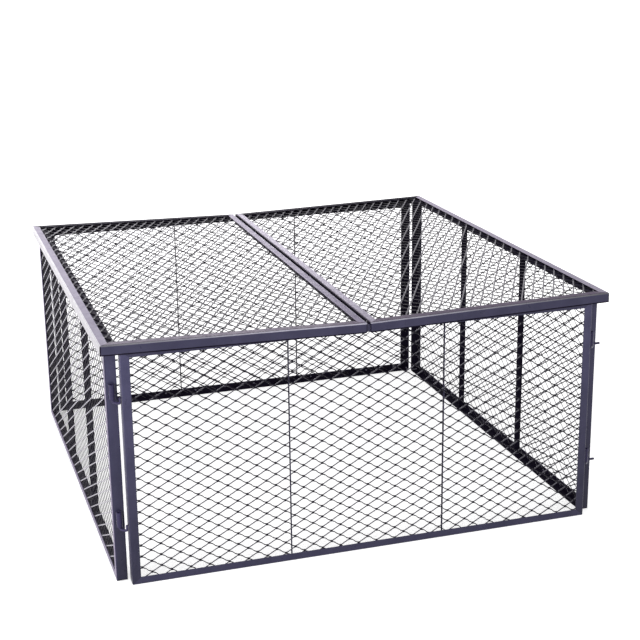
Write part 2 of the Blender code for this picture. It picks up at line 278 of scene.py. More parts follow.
# What all coats share: how far apart the blotches of each kind are, and between which levels of the
# noise they come in
coatPattern = {
    "cloud": 0.045,
    "cloudLevels": (0.35, 0.65),
    "speck": 0.0016,
    "speckLevels": (0.66, 0.74),
    "patch": 0.018,        # of rougher and smoother coat
    "patchLevels": (0.3, 0.7),
    "peel": 0.0032,
    "peelDepth": 0.0004,
    "grain": 0.0007,
    "grainDepth": 0.0001,
    "dustAndSheenRough": 0.35,
}


def noiseNode(tree, place, size, detail, rough=0.5):
    # size is how far apart the blotches are, in metres
    noise = tree.nodes.new("ShaderNodeTexNoise")
    noise.inputs["Scale"].default_value = 1.0 / size
    noise.inputs["Detail"].default_value = detail
    noise.inputs["Roughness"].default_value = rough
    tree.links.new(place, noise.inputs["Vector"])
    return noise.outputs["Fac"]


def ranged(tree, value, fromLow, fromHigh, toLow, toHigh):
    node = tree.nodes.new("ShaderNodeMapRange")
    limits = {"From Min": fromLow, "From Max": fromHigh, "To Min": toLow, "To Max": toHigh}
    for key, number in limits.items():
        node.inputs[key].default_value = number
    tree.links.new(value, node.inputs["Value"])
    return node.outputs["Result"]


def blended(tree, share, first, second):
    # first and second are colours or sockets. Inputs 6 and 7 and output 2 are the node's colours.
    node = tree.nodes.new("ShaderNodeMix")
    node.data_type = "RGBA"
    tree.links.new(share, node.inputs["Factor"])
    for socket, colour in ((node.inputs[6], first), (node.inputs[7], second)):
        if isinstance(colour, tuple):
            socket.default_value = (*colour, 1.0)
        else:
            tree.links.new(colour, socket)
    return node.outputs[2]


def powderCoat(name, look):
    # Powder-coated steel: cloudy colour, pale specks, patchy gloss, orange peel, fine grain, dust and
    # sheen, and, where the coat has a fade, painted light and shade
    material = bpy.data.materials.new(name)
    material.use_nodes = True
    tree = material.node_tree
    shader = tree.nodes["Principled BSDF"]
    place = tree.nodes.new("ShaderNodeTexCoord").outputs["Object"]
    clouds = noiseNode(tree, place, coatPattern["cloud"], 3.0)
    cloud = ranged(tree, clouds, *coatPattern["cloudLevels"], 0.0, 1.0)
    colour = blended(tree, cloud, look["colour"], look["second"])
    speckle = noiseNode(tree, place, coatPattern["speck"], 2.0, 0.6)
    specks = ranged(tree, speckle, *coatPattern["speckLevels"], 0.0, look["worn"])
    colour = blended(tree, specks, colour, look["speck"])
    # Painted light and shade: the colour is scaled along one axis
    if look["fade"]:
        axis, *span = look["fade"]
        apart = tree.nodes.new("ShaderNodeSeparateXYZ")
        strength = tree.nodes.new("ShaderNodeVectorMath")
        strength.operation = "SCALE"
        tree.links.new(place, apart.inputs[0])
        tree.links.new(ranged(tree, apart.outputs[axis], *span), strength.inputs["Scale"])
        tree.links.new(colour, strength.inputs[0])
        colour = strength.outputs[0]
    tree.links.new(colour, shader.inputs["Base Color"])
    patch = noiseNode(tree, place, coatPattern["patch"], 4.0, 0.6)
    rough = ranged(tree, patch, *coatPattern["patchLevels"], *look["rough"])
    tree.links.new(rough, shader.inputs["Roughness"])
    peel = tree.nodes.new("ShaderNodeBump")
    peel.inputs["Strength"].default_value = look["peel"]
    peel.inputs["Distance"].default_value = coatPattern["peelDepth"]
    tree.links.new(noiseNode(tree, place, coatPattern["peel"], 2.0), peel.inputs["Height"])
    grain = tree.nodes.new("ShaderNodeBump")
    grain.inputs["Strength"].default_value = look["grain"]
    grain.inputs["Distance"].default_value = coatPattern["grainDepth"]
    tree.links.new(noiseNode(tree, place, coatPattern["grain"], 3.0), grain.inputs["Height"])
    tree.links.new(peel.outputs["Normal"], grain.inputs["Normal"])
    tree.links.new(grain.outputs["Normal"], shader.inputs["Normal"])
    shader.inputs["Specular IOR Level"].default_value = look["shine"]
    shader.inputs["Sheen Weight"].default_value = look["dust"]
    shader.inputs["Sheen Roughness"].default_value = coatPattern["dustAndSheenRough"]
    shader.inputs["Sheen Tint"].default_value = (*look["dustAndSheenColour"], 1.0)
    return material


finishes = {
    "outer": powderCoat("outerPowderCoat", outerCoat),
    "stile": powderCoat("stilePowderCoat", paintedLightAndShadeStileCoat),
    "paintedLightFlange": powderCoat("paintedLightFlangePowderCoat", paintedLightFlangeCoat),
    "dusty": powderCoat("paintedSheenPowderCoat", paintedSheenCoat),
    "dustier": powderCoat("strongPaintedSheenPowderCoat", strongPaintedSheenCoat),
    "mauve": powderCoat("paintedShadeMauvePowderCoat", paintedShadeMauveCoat),
    "edge": powderCoat("paintedHighlightPowderCoat", paintedHighlightCoat),
    "leftEdge": powderCoat("leftPaintedHighlightPowderCoat", leftPaintedHighlightCoat),
    "rightEdge": powderCoat("rightPaintedHighlightPowderCoat", rightPaintedHighlightCoat),
    "inner": powderCoat("paintedShadePowderCoat", paintedShadeCoat),
    "strand": powderCoat("strandPowderCoat", strandCoat),
    "greyStrand": powderCoat("greyStrandPowderCoat", greyStrandCoat),
    "paintedLightStrand": powderCoat("paintedLightStrandPowderCoat", paintedLightStrandCoat),
    "paintedShadeStrand": powderCoat("paintedShadeStrandPowderCoat", paintedShadeStrandCoat),
    "hinge": powderCoat("hingePowderCoat", hingeCoat),
    "paintedShadeHinge": powderCoat("paintedShadeHingePowderCoat", paintedShadeHingeCoat),
    "weld": powderCoat("weldPowderCoat", weldCoat),
}
print("finishes are mixed")


# Places, read from the frame

frameSheet = {"thickness": 0.0016, "belowFace": 0.0031}  # the lids' own sheets in the frame


def wallAxes(name):
    # X along the wall to the right as seen from outside, Y inwards from its outer face, Z up
    turn = Matrix.Rotation(math.radians(wallTurns[name]), 4, "Z")
    corners = [turn.inverted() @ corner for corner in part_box(name + "_wall_bottom_rail")]
    return turn @ Matrix.Translation((0.0, min(corner.y for corner in corners), 0.0))


def lidAxes(name):
    # X along the bin's depth, Y down through the lid from its top face, Z outwards along its slope
    turn = Matrix.Rotation(math.radians(lidTurns[name]), 4, "Z")
    low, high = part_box(name + "_mesh")
    inner = [abs(low.x), abs(high.x)]
    run = max(inner) - min(inner)
    slope = math.atan((high.z - low.z - frameSheet["thickness"]) / run)
    outwards = Vector((math.cos(slope), 0.0, math.sin(slope)))
    down = Vector((math.sin(slope), 0.0, -math.cos(slope)))
    centre = Vector(((min(inner) + max(inner)) / 2, 0.0, (low.z + high.z) / 2))
    axes = Matrix((Vector((0.0, 1.0, 0.0)), down, outwards)).transposed().to_4x4()
    return turn @ Matrix.Translation(centre - down * frameSheet["belowFace"]) @ axes


wallFrames = {name: wallAxes(name) for name in wallTurns}
lidFrames = {name: lidAxes(name) for name in lidTurns}


def localBox(node, axes):
    # The node's own box in a wall's or lid's axes
    back = axes.inverted()
    points = [back @ vertex.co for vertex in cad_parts[node].data.vertices]
    return tuple(Vector(pick(point[i] for point in points) for i in range(3)) for pick in (min, max))


def alongAxis(axis, length):
    # A step of this length along X, Y or Z
    step = Vector((0.0, 0.0, 0.0))
    step[axis] = length
    return step


def camel(node):
    # left_wall_mesh becomes leftWallMesh
    first, *rest = node.split("_")
    return first + "".join(word.capitalize() for word in rest)


smoothUpTo = 42            # degrees between two faces that shade as one


def addPiece(name, bm, body, coats, nodes=()):
    # Writes the piece's mesh, sets what it rides on, and hides the nodes that it stands for
    mesh = bpy.data.meshes.new(name)
    bm.to_mesh(mesh)
    bm.free()
    for coat in coats:
        mesh.materials.append(finishes[coat])
    mesh.shade_smooth()
    mesh.set_sharp_from_angle(angle=math.radians(smoothUpTo))
    piece = bpy.data.objects.new(name, mesh)
    scene.collection.objects.link(piece)
    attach(piece, body)
    if nodes:
        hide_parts(*nodes)
    return piece


# Angle-steel frames

# Coats of a side: the flat face, the leg's outer side, the bend between them, the rest, and the
# strip of the face beside the bend
# The rest always takes inner, which is painted shade, and the stiles take the coat with painted light and
# shade up their height
plainCoats = ("outer", "outer", "outer", "inner", "outer")
paintedLightAndShadeStileCoats = ("stile", "stile", "stile", "inner", "stile")
# Faces that catch the light take lit copies, which paint sheen, light and highlights, and faces in shade
# take the darker copies or inner, which paint shade, as on the lids' back rails' tops, the gap between the
# lids, the strip beside the front rails' bends and the wall top rails' legs under the lids
sideCoats = {
    "left_lid_outer_rail": ("dusty", "paintedLightFlange", "paintedLightFlange", "inner", "dusty"),
    "left_lid_middle_rail": ("dusty", "inner", "edge", "inner", "dusty"),
    "right_lid_middle_rail": ("dustier", "inner", "inner", "inner", "mauve"),
    "right_lid_outer_rail": ("dustier", "outer", "mauve", "inner", "dustier"),
    "left_lid_front_rail": ("mauve", "outer", "leftEdge", "inner", "inner"),
    "right_lid_front_rail": ("mauve", "outer", "rightEdge", "inner", "inner"),
    "left_lid_back_rail": ("inner", "outer", "inner", "inner", "inner"),
    "right_lid_back_rail": ("inner", "outer", "inner", "inner", "inner"),
    "left_wall_left_stile": ("dusty", "stile", "outer", "inner", "dusty"),
    "left_wall_right_stile": ("dusty", "stile", "dusty", "inner", "dusty"),
    "left_wall_top_rail": ("dusty", "inner", "outer", "inner", "dusty"),
    "left_wall_bottom_rail": ("dusty", "outer", "outer", "inner", "dusty"),
    "front_wall_top_rail": ("outer", "inner", "outer", "inner", "outer"),
    "right_wall_top_rail": ("outer", "inner", "outer", "inner", "outer"),
    "back_wall_top_rail": ("outer", "inner", "outer", "inner", "outer"),
}
# Flat faces that are drawn narrower than those of the frame, which are 25 mm
faceWidths = {
    "left_lid_outer_rail": 0.0190, "right_lid_outer_rail": 0.0190,
    "left_lid_middle_rail": 0.0190, "right_lid_middle_rail": 0.0200,
}
angleLook = {
    "edgeRound": 0.00045,
    "edgeSteps": 2,
    "cornerRound": 0.0030,
    "heelRound": 0.0021,   # where the flat face bends into the leg
    "darkFoot": 0.0028,    # the shaded strip along the lower edge of a lid's front leg
    "besideHeel": 0.0052,  # how far the face's strip beside the bend reaches from the outer side
    "seam": 0.00014,       # each mitred end grows by this, so that the welded corner closes
    "flatWithin": 0.6,     # degrees, up to which neighbouring faces of the frame are joined into one
    "roundFrom": 50,       # degrees, from which an edge is rounded
    "plate": 0.0021,       # thickness of the steel, with a little to spare
}
coatPlaces = {"face": 0, "leg": 1, "bend": 2, "rest": 3, "strip": 4}
mitreMark = 2              # stands in a mitred face's material index until the coats are chosen
squareOn = 0.98            # how much of its normal a face has along an axis that it looks along


def cutAt(bm, point, away, axes, keepBoth=False):
    # Cuts along a plane, and takes off and closes the side that it faces, unless both sides are kept
    everything = bm.verts[:] + bm.edges[:] + bm.faces[:]
    cut = bmesh.ops.bisect_plane(
        bm, geom=everything, dist=1e-7, plane_co=axes @ point, plane_no=axes.to_3x3() @ away,
        clear_outer=not keepBoth,
    )["geom_cut"]
    edges = [item for item in cut if isinstance(item, bmesh.types.BMEdge)]
    if edges and not keepBoth:
        bmesh.ops.edgenet_fill(bm, edges=edges)


def roundCorner(bm, corner, inwards, radius, axes):
    # Trims an outer corner with planes that touch a circle between the two inward directions
    centre = corner + radius * (inwards[0] + inwards[1])
    for degrees in (22.5, 45.0, 67.5):
        angle = math.radians(degrees)
        away = -(inwards[0] * math.cos(angle) + inwards[1] * math.sin(angle))
        cutAt(bm, centre + away * radius, away, axes)


def roundEdges(bm, edges, reach, steps):
    bmesh.ops.bevel(
        bm, geom=edges, offset=reach, segments=steps, profile=0.5, affect="EDGES", clamp_overlap=True,
    )


def closeMitres(bm, along, axes):
    # The mitred ends are the only faces that lean along the length. They move out by the seam.
    back = axes.inverted().to_3x3()
    grown = set()
    for face in bm.faces:
        lean = (back @ face.normal)[along]
        if 0.3 < abs(lean) < 0.95:
            face.material_index = mitreMark
            shift = axes.to_3x3() @ alongAxis(along, angleLook["seam"] / lean)
            for vertex in set(face.verts) - grown:
                vertex.co += shift
                grown.add(vertex)


def chooseCoats(bm, axes, heel, outside, foot, isLid):
    # By where each face looks and lies. Further down than foot, a leg's outer side is shaded.
    toLocal = axes.inverted()
    for face in bm.faces:
        normal = toLocal.to_3x3() @ face.normal
        middle = toLocal @ face.calc_center_median()
        outwards = normal.dot(outside)
        if normal.y < -squareOn:
            beside = (heel - middle).dot(outside) < angleLook["besideHeel"]
            place = "strip" if beside else "face"
        elif outwards < -0.4 and middle.y < angleLook["plate"]:
            place = "rest" if isLid else "face"
        elif outwards > squareOn:
            place = "rest" if middle.y > foot else "leg"
        else:
            place = "bend" if normal.y < -0.1 and outwards > 0.1 else "rest"
        face.material_index = coatPlaces[place]


def makeAngle(node, body, axes, frameBox):
    bm = bmesh.new()
    bm.from_mesh(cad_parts[node].data)
    bmesh.ops.remove_doubles(bm, verts=bm.verts, dist=1e-6)
    limit = math.radians(angleLook["flatWithin"])
    bmesh.ops.dissolve_limit(bm, angle_limit=limit, verts=bm.verts, edges=bm.edges)
    low, high = localBox(node, axes)
    frameLow, frameHigh = frameBox
    along = 0 if high.x - low.x > high.z - low.z else 2
    across = 2 - along
    closeMitres(bm, along, axes)

    # The frame's outer corners, then the bend between this side's face and leg
    for x, inX in ((frameLow.x, 1.0), (frameHigh.x, -1.0)):
        for z, inZ in ((frameLow.z, 1.0), (frameHigh.z, -1.0)):
            inwards = (alongAxis(0, inX), alongAxis(2, inZ))
            roundCorner(bm, Vector((x, 0.0, z)), inwards, angleLook["cornerRound"], axes)
    isFar = low[across] + high[across] > frameLow[across] + frameHigh[across]
    outside = alongAxis(across, 1.0 if isFar else -1.0)
    heel = Vector((0.0, frameLow.y, 0.0))
    heel[across] = (frameHigh if isFar else frameLow)[across]
    roundCorner(bm, heel, (alongAxis(1, 1.0), -outside), angleLook["heelRound"], axes)

    # Lines where the coat changes, and the trimmed faces
    cutAt(bm, heel - outside * angleLook["besideHeel"], outside, axes, keepBoth=True)
    foot = math.inf
    if node.endswith("lid_front_rail"):
        foot = high.y - angleLook["darkFoot"]
        cutAt(bm, alongAxis(1, foot), alongAxis(1, 1.0), axes, keepBoth=True)
    if node in faceWidths:
        cutAt(bm, heel - outside * faceWidths[node], -outside, axes)
    bmesh.ops.recalc_face_normals(bm, faces=bm.faces)
    bm.normal_update()

    sharp = math.radians(angleLook["roundFrom"])
    edges = [edge for edge in bm.edges if len(edge.link_faces) == 2 and edge.calc_face_angle(0.0) > sharp
             and all(face.material_index != mitreMark for face in edge.link_faces)]
    roundEdges(bm, edges, angleLook["edgeRound"], angleLook["edgeSteps"])
    chooseCoats(bm, axes, heel, outside, foot, body != "walls")
    coats = sideCoats.get(node, paintedLightAndShadeStileCoats if node.endswith("stile") else plainCoats)
    piece = addPiece(camel(node), bm, body, coats, (node,))
    piece.modifiers.new("evenShading", "WEIGHTED_NORMAL").keep_sharp = True


def frameBoxOf(nodes, axes):
    boxes = [localBox(node, axes) for node in nodes]
    low = Vector(min(box[0][i] for box in boxes) for i in range(3))
    high = Vector(max(box[1][i] for box in boxes) for i in range(3))
    return low, high


for wallName, axes in wallFrames.items():
    nodes = [f"{wallName}_wall_{side}" for side in frameSides]
    for node in nodes:
        makeAngle(node, "walls", axes, frameBoxOf(nodes, axes))
for lidName, axes in lidFrames.items():
    nodes = [f"{lidName}_{side}" for side in lidSides]
    for node in nodes:
        makeAngle(node, lidName, axes, frameBoxOf(nodes, axes))
print("angle frames are cut and coated")


# Upright flat bars

barLook = {"edgeRound": 0.0005, "edgeSteps": 3}


def makeBar(node, axes):
    low, high = localBox(node, axes)
    bm = bmesh.new()
    bmesh.ops.create_cube(bm, size=1.0)
    bmesh.ops.scale(bm, vec=high - low, verts=bm.verts)
    roundEdges(bm, bm.edges[:], barLook["edgeRound"], barLook["edgeSteps"])
    bmesh.ops.transform(bm, matrix=axes @ Matrix.Translation((low + high) / 2), verts=bm.verts)
    back = axes.inverted().to_3x3()
    # Faces that don't look out take inner, which is painted shade
    for face in bm.faces:
        looksOut = (back @ face.normal).y < -0.6
        face.material_index = 0 if looksOut else 1
    addPiece(camel(node), bm, "walls", ("outer", "inner"), (node,))


for wallName, axes in wallFrames.items():
    for number in (1, 2):
        makeBar(f"{wallName}_wall_bar_{number}", axes)
print("flat bars stand behind the mesh")


# Expanded mesh

meshLook = {
    "wallStrand": (0.0026, 0.00135),   # width and thickness
    "sideStrand": (0.0026, 0.00125),
    "lidStrand": (0.0034, 0.0015),
    "bond": 0.0046,        # length of the joint between strands
    "straight": 0.333,     # where a rising strand is after a third of its way
    "curved": 0.255,       # the same for a falling strand, which is slightly bent
    "spareDiamonds": 4,    # past the frame along and across the ribbons, to be cut off
    "spareRows": 8,
    # Waves that make the diamonds unlike: the axis that they push along, how far, how fast they go
    # along X and Z, and how far on they start
    "waves": (
        (0, 0.0016, 0.0, 11.0, 0.7), (0, 0.0008, 17.0, 5.0, 0.0),
        (2, 0.0014, 7.0, 0.0, 1.1), (2, 0.0007, -6.0, 19.0, 0.0),
    ),
}
wallSheet = {
    "strand": "wallStrand", "coat": "strand", "longWay": 0.0444, "shortWay": 0.0265, "tilt": 20.0,
}
sideSheet = {
    "strand": "sideStrand", "coat": "paintedLightStrand", "longWay": 0.0505, "shortWay": 0.0272, "tilt": 0.0,
}
lidSheet = {
    "strand": "lidStrand", "coat": "greyStrand", "longWay": 0.0505, "shortWay": 0.0263, "tilt": 26.0,
}
# Tilt is how many degrees each strand leans out of the sheet, and lean how many its rows are off level
sheetLooks = {
    "front_wall_mesh": {**wallSheet, "lean": -1.2, "start": (0.0, 0.0)},
    "right_wall_mesh": {**wallSheet, "lean": 0.6, "start": (0.011, 0.004)},
    "back_wall_mesh": {**wallSheet, "lean": 0.4, "start": (0.006, 0.009)},
    "left_wall_mesh": {**sideSheet, "lean": -3.1, "start": (0.017, 0.002)},
    "right_lid_mesh": {**lidSheet, "lean": 0.5, "start": (0.009, 0.006)},
    "left_lid_mesh": {**lidSheet, "tilt": -26.0, "lean": -0.4, "start": (0.003, 0.011)},
}


def strandNet(size, look):
    # Ribbons zigzag along X and meet the next ribbon at bonds. Y is depth, Z is across the ribbons.
    halfLong, halfShort = look["longWay"] / 2, look["shortWay"] / 2
    tilt = math.radians(look["tilt"])
    width, thickness = meshLook[look["strand"]]
    wide = np.array([math.sin(tilt), math.cos(tilt)]) * width / 2
    deep = np.array([math.cos(tilt), -math.sin(tilt)]) * thickness / 2
    flat = meshLook["bond"] / 2
    run = halfLong - 2 * flat
    straight, curved = meshLook["straight"], meshLook["curved"]
    # The ribbon's middle: how far along a diamond it is, and what share of the way up
    stations = [
        (-flat, 0.0), (flat, 0.0), (flat + run / 3, straight), (flat + run * 2 / 3, 1.0 - straight),
        (halfLong - flat, 1.0), (halfLong + flat, 1.0),
        (halfLong + flat + run / 3, 1.0 - curved), (halfLong + flat + run * 2 / 3, curved),
    ]
    valley, peak = 0, 4    # the stations where the ribbon's bonds start
    perDiamond = len(stations)
    repeats = math.ceil(size[0] / look["longWay"]) + meshLook["spareDiamonds"]
    rows = math.ceil(size[1] / halfShort) + meshLook["spareRows"]
    along = np.array([reach for reach, upTo in stations])
    along = (along[None, :] + look["longWay"] * np.arange(repeats)[:, None]).ravel()
    along = along - look["longWay"] * repeats / 2 + look["start"][0]
    share = np.tile([upTo for reach, upTo in stations], repeats)
    row = np.arange(rows)
    x = along[None, :] + halfLong * (row % 2)[:, None]
    y = wide[0] * (1.0 - 2.0 * share[None, :])
    # A valley is half a strand above its row of bonds, and a peak half a strand below the next row
    rise = share[None, :] * (halfShort - 2 * wide[1])
    z = halfShort * (row[:, None] - rows / 2) + wide[1] + rise + look["start"][1]
    points = np.empty((rows, len(along), 4, 3))
    for corner, (up, back) in enumerate(((-1, -1), (1, -1), (1, 1), (-1, 1))):
        points[:, :, corner, 0] = x
        points[:, :, corner, 1] = y + up * wide[0] + back * deep[0]
        points[:, :, corner, 2] = z + up * wide[1] + back * deep[1]
    faces, kinds = [], []
    count = len(along)
    station = np.arange(count - 1)
    for side in range(4):
        # Where two ribbons are bonded, the sides that meet are left out
        keep = np.ones(count - 1, bool)
        if side == 1:
            keep &= station % perDiamond != peak
        if side == 3:
            keep &= station % perDiamond != valley
        first = (row[:, None] * count + station[keep][None, :]) * 4
        corners = (first + side, first + (side + 1) % 4, first + 4 + (side + 1) % 4, first + 4 + side)
        faces.append(np.stack(corners, axis=-1).reshape(-1, 4))
        # Kind 0 is a rising strand, which takes the sheet's coat; kind 1 takes painted shade
        place = station[keep] % perDiamond
        rising = (place > valley) & (place < peak)
        kinds.append(np.tile(np.where(rising, 0, 1), rows))
    return points.reshape(-1, 3), np.concatenate(faces), np.concatenate(kinds)


def warpNet(points, look):
    # The sheet leans a little and its diamonds aren't all alike
    x, z = points[:, 0].copy(), points[:, 2].copy()
    points[:, 2] += math.tan(math.radians(look["lean"])) * x
    for axis, reach, fastX, fastZ, start in meshLook["waves"]:
        points[:, axis] += reach * np.sin(x * fastX + z * fastZ + start)


def makeNet(node, body, axes):
    low, high = localBox(node, axes)
    middle = (low + high) / 2
    size = (high.x - low.x, high.z - low.z)
    points, faces, kinds = strandNet(size, sheetLooks[node])
    warpNet(points, sheetLooks[node])
    mesh = bpy.data.meshes.new("strands")
    mesh.from_pydata(points.tolist(), [], faces.tolist())
    mesh.polygons.foreach_set("material_index", kinds.astype(np.int32))
    bm = bmesh.new()
    bm.from_mesh(mesh)
    bpy.data.meshes.remove(mesh)
    bmesh.ops.remove_doubles(bm, verts=bm.verts, dist=2e-6)
    for axis, half in ((0, size[0] / 2), (2, size[1] / 2)):
        for sign in (-1, 1):
            away = alongAxis(axis, sign)
            everything = bm.verts[:] + bm.edges[:] + bm.faces[:]
            cut = bmesh.ops.bisect_plane(
                bm, geom=everything, dist=1e-7, plane_co=away * half, plane_no=away, clear_outer=True,
            )["geom_cut"]
            edges = [item for item in cut if isinstance(item, bmesh.types.BMEdge)]
            bmesh.ops.holes_fill(bm, edges=edges, sides=0)
    bmesh.ops.transform(bm, matrix=axes @ Matrix.Translation(middle), verts=bm.verts)
    bmesh.ops.recalc_face_normals(bm, faces=bm.faces)
    # The rising strands take the sheet's coat, and the falling strands and the bonds painted shade
    coats = (sheetLooks[node]["coat"], "paintedShadeStrand")  # of the rising strands, and of the falling ones
    addPiece(camel(node), bm, body, coats, (node,))


for wallName, axes in wallFrames.items():
    makeNet(wallName + "_wall_mesh", "walls", axes)
for lidName, axes in lidFrames.items():
    makeNet(lidName + "_mesh", lidName, axes)
print("expanded mesh is stretched into the frames")


# Hinges

hingeLook = {
    "barrelSides": 40,
    "barrelEdge": 0.0009,
    "barrelLip": 0.5,      # the rounding inside the bore, as a share of the one outside
    "bore": 0.0036,        # radius
    "rodRadius": 0.0030,
    "rodBend": 0.0060,
    "rodSides": 20,
    "rodDome": 0.6,        # height of the rod's domed ends, as a share of its radius
    "domeSteps": 4,
    "domeAngle": 82,       # degrees from a dome's foot to its flat top
    "bendSteps": 8,
    "weldEndHeight": 0.0150,
    "endReach": {"right": 0.0085},  # how far the rod's free end sticks out past the walls named here
    "endLift": 0.0050,     # of the rod's free end above the arm
    "endRadius": 0.92,     # of the free end and of its dome's height, as shares of the rod's radius
    "endDome": 0.5,
}


def ringOf(centre, right, up, radius, sides):
    angles = [2 * math.pi * i / sides for i in range(sides)]
    return [centre + right * (radius * math.cos(a)) + up * (radius * math.sin(a)) for a in angles]


def sweep(bm, path, radii, sides):
    # A closed tube through the path's points, with its own radius at each
    ahead = (path[1] - path[0]).normalized()
    right = ahead.orthogonal().normalized()
    rings = []
    for i, point in enumerate(path):
        toNext = (path[min(i + 1, len(path) - 1)] - path[max(i - 1, 0)]).normalized()
        right = (right - toNext * right.dot(toNext)).normalized()
        ring = ringOf(point, right, toNext.cross(right), radii[i], sides)
        rings.append([bm.verts.new(co) for co in ring])
    for one, two in zip(rings, rings[1:]):
        for i in range(sides):
            bm.faces.new((one[i], one[(i + 1) % sides], two[(i + 1) % sides], two[i]))
    bm.faces.new(rings[0][::-1])
    bm.faces.new(rings[-1])


def domed(path, radius, height):
    # The path and the radius at each of its points, with both ends rounded off over this height
    steps = hingeLook["domeSteps"]
    caps = []
    for end, towards in ((path[0], path[1]), (path[-1], path[-2])):
        back = (towards - end).normalized()
        cap = []
        for i in range(steps):
            angle = math.radians(hingeLook["domeAngle"]) * (1 - i / steps)
            cap.append((end + back * height * (1 - math.sin(angle)), radius * math.cos(angle)))
        cap.append((end + back * height, radius))
        caps.append(cap)
    whole = caps[0] + [(point, radius) for point in path[1:-1]] + caps[1][::-1]
    return [point for point, wide in whole], [wide for point, wide in whole]


def bentPath(corners, bend, steps):
    points = [corners[0]]
    for before, corner, after in zip(corners, corners[1:], corners[2:]):
        back = (before - corner).normalized()
        ahead = (after - corner).normalized()
        half = back.angle(ahead) / 2
        centre = corner + (back + ahead).normalized() * bend / math.sin(half)
        start = corner + back * bend / math.tan(half) - centre
        axis = start.cross(corner + ahead * bend / math.tan(half) - centre).normalized()
        for step in range(steps + 1):
            turn = Matrix.Rotation((math.pi - 2 * half) * step / steps, 3, axis)
            points.append(centre + turn @ start)
    points.append(corners[-1])
    return points


def makeBarrel(node):
    low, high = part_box(node)
    centre = (low + high) / 2
    half = (high.z - low.z) / 2
    radius = (high.x - low.x) / 2
    edge, bore = hingeLook["barrelEdge"], hingeLook["bore"]
    quarter = [math.radians(a) for a in (0, 30, 60, 90)]
    top = [(radius - edge + edge * math.sin(a), half - edge + edge * math.cos(a)) for a in quarter]
    lip = edge * hingeLook["barrelLip"]
    profile = [(bore, half - lip), (bore + lip, half)] + top
    profile += [(wide, -z) for wide, z in reversed(profile)]
    bm = bmesh.new()
    sides = hingeLook["barrelSides"]
    rings = []
    for wide, z in profile:
        ring = ringOf(centre + alongAxis(2, z), alongAxis(0, 1.0), alongAxis(1, 1.0), wide, sides)
        rings.append([bm.verts.new(co) for co in ring])
    for one, two in zip(rings, rings[1:] + rings[:1]):
        for i in range(sides):
            bm.faces.new((one[i], two[i], two[(i + 1) % sides], one[(i + 1) % sides]))
    bmesh.ops.recalc_face_normals(bm, faces=bm.faces)
    # The front wall's barrels take painted shade
    coat = "paintedShadeHinge" if node.startswith("front_wall") else "hinge"
    addPiece(camel(node), bm, "walls", (coat,), (node,))


def makePintle(node, barrelNode):
    low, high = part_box(node)
    barrelLow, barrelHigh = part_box(barrelNode)
    pivot = (barrelLow + barrelHigh) / 2
    rod = hingeLook["rodRadius"]
    # The welded end stands in the corner of the rod's box that is furthest from the pin
    weld = Vector((
        low.x + rod if pivot.x > (low.x + high.x) / 2 else high.x - rod,
        low.y + rod if pivot.y > (low.y + high.y) / 2 else high.y - rod,
        0.0,
    ))
    arm = low.z + rod
    corners = [
        Vector((weld.x, weld.y, arm + hingeLook["weldEndHeight"])),
        Vector((weld.x, weld.y, arm)),
        Vector((pivot.x, pivot.y, arm)),
        Vector((pivot.x, pivot.y, high.z)),
    ]
    path = bentPath(corners, hingeLook["rodBend"], hingeLook["bendSteps"])
    points, radii = domed(path, rod, rod * hingeLook["rodDome"])
    bm = bmesh.new()
    sweep(bm, points, radii, hingeLook["rodSides"])
    bmesh.ops.recalc_face_normals(bm, faces=bm.faces)
    addPiece(camel(node), bm, "walls", ("hinge",), (node,))
    return weld, arm


def makeRodEnd(name, level, place, axes):
    # The rod's free end, which sticks out past its wall beside the stile
    rod = hingeLook["rodRadius"]
    inside = axes.inverted() @ (place + alongAxis(2, hingeLook["endLift"]))
    outside = Vector((inside.x, -hingeLook["endReach"][name], inside.z))
    path = [axes @ inside, axes @ inside.lerp(outside, 0.5), axes @ outside]
    points, radii = domed(path, rod * hingeLook["endRadius"], rod * hingeLook["endDome"])
    bm = bmesh.new()
    sweep(bm, points, radii, hingeLook["rodSides"])
    bmesh.ops.recalc_face_normals(bm, faces=bm.faces)
    addPiece(f"{name}{level.capitalize()}RodEnd", bm, "walls", ("hinge",))


order = list(wallTurns)
pintleWelds = {name: [] for name in order}
for i, wallName in enumerate(order):
    for level in ("lower", "upper"):
        makeBarrel(f"{wallName}_{level}_barrel")
        weld, arm = makePintle(f"{wallName}_{level}_pintle", f"{order[i - 1]}_{level}_barrel")
        pintleWelds[wallName].append(Vector((weld.x, weld.y, arm)))
        if wallName in hingeLook["endReach"]:
            makeRodEnd(wallName, level, pintleWelds[wallName][-1], wallFrames[wallName])
print("hinges hang in the corners")


# Welds

beadLook = {
    "ripple": 0.0016,      # from one ripple of a bead to the next
    "rippleDepth": 0.14,   # as a share of the bead's radius
    "rippleSteps": 4,
    "wander": 0.18,        # how far a bead strays sideways, as a share of its radius
    "wanderTurn": 9.0,     # radians that its straying goes through from end to end
    "wanderStart": 70.0,   # radians for each metre along X, so that no two beads stray alike
    "fewestSteps": 6,
    "endTaper": 0.02,      # least share of the radius at a bead's tip, squared
    "sides": 10,
}
cornerWeld = {"radius": 0.0021, "inset": 0.0030, "short": 0.0010}
barWeld = {"radius": 0.0014, "aside": 0.0004, "past": 0.0002, "outerShort": 0.0010, "innerShort": 0.0005}
barrelWeld = {"radius": 0.0018, "apart": 0.0046, "out": 0.0012, "short": 0.0012}
rodWeld = {"radius": 0.0015, "apart": 0.0029, "out": 0.0010, "from": 0.0035, "to": 0.0145}
tackLook = {
    "size": (0.0036, 0.0012, 0.0029),
    "uneven": 0.12,
    "turn": 1.3,           # from each tack to the next, in radians
    "spacing": 0.093,
    "inset": 0.0085,       # from the frame's outer side
    "margin": 0.045,       # from the frame's corners to the first and last tack
}


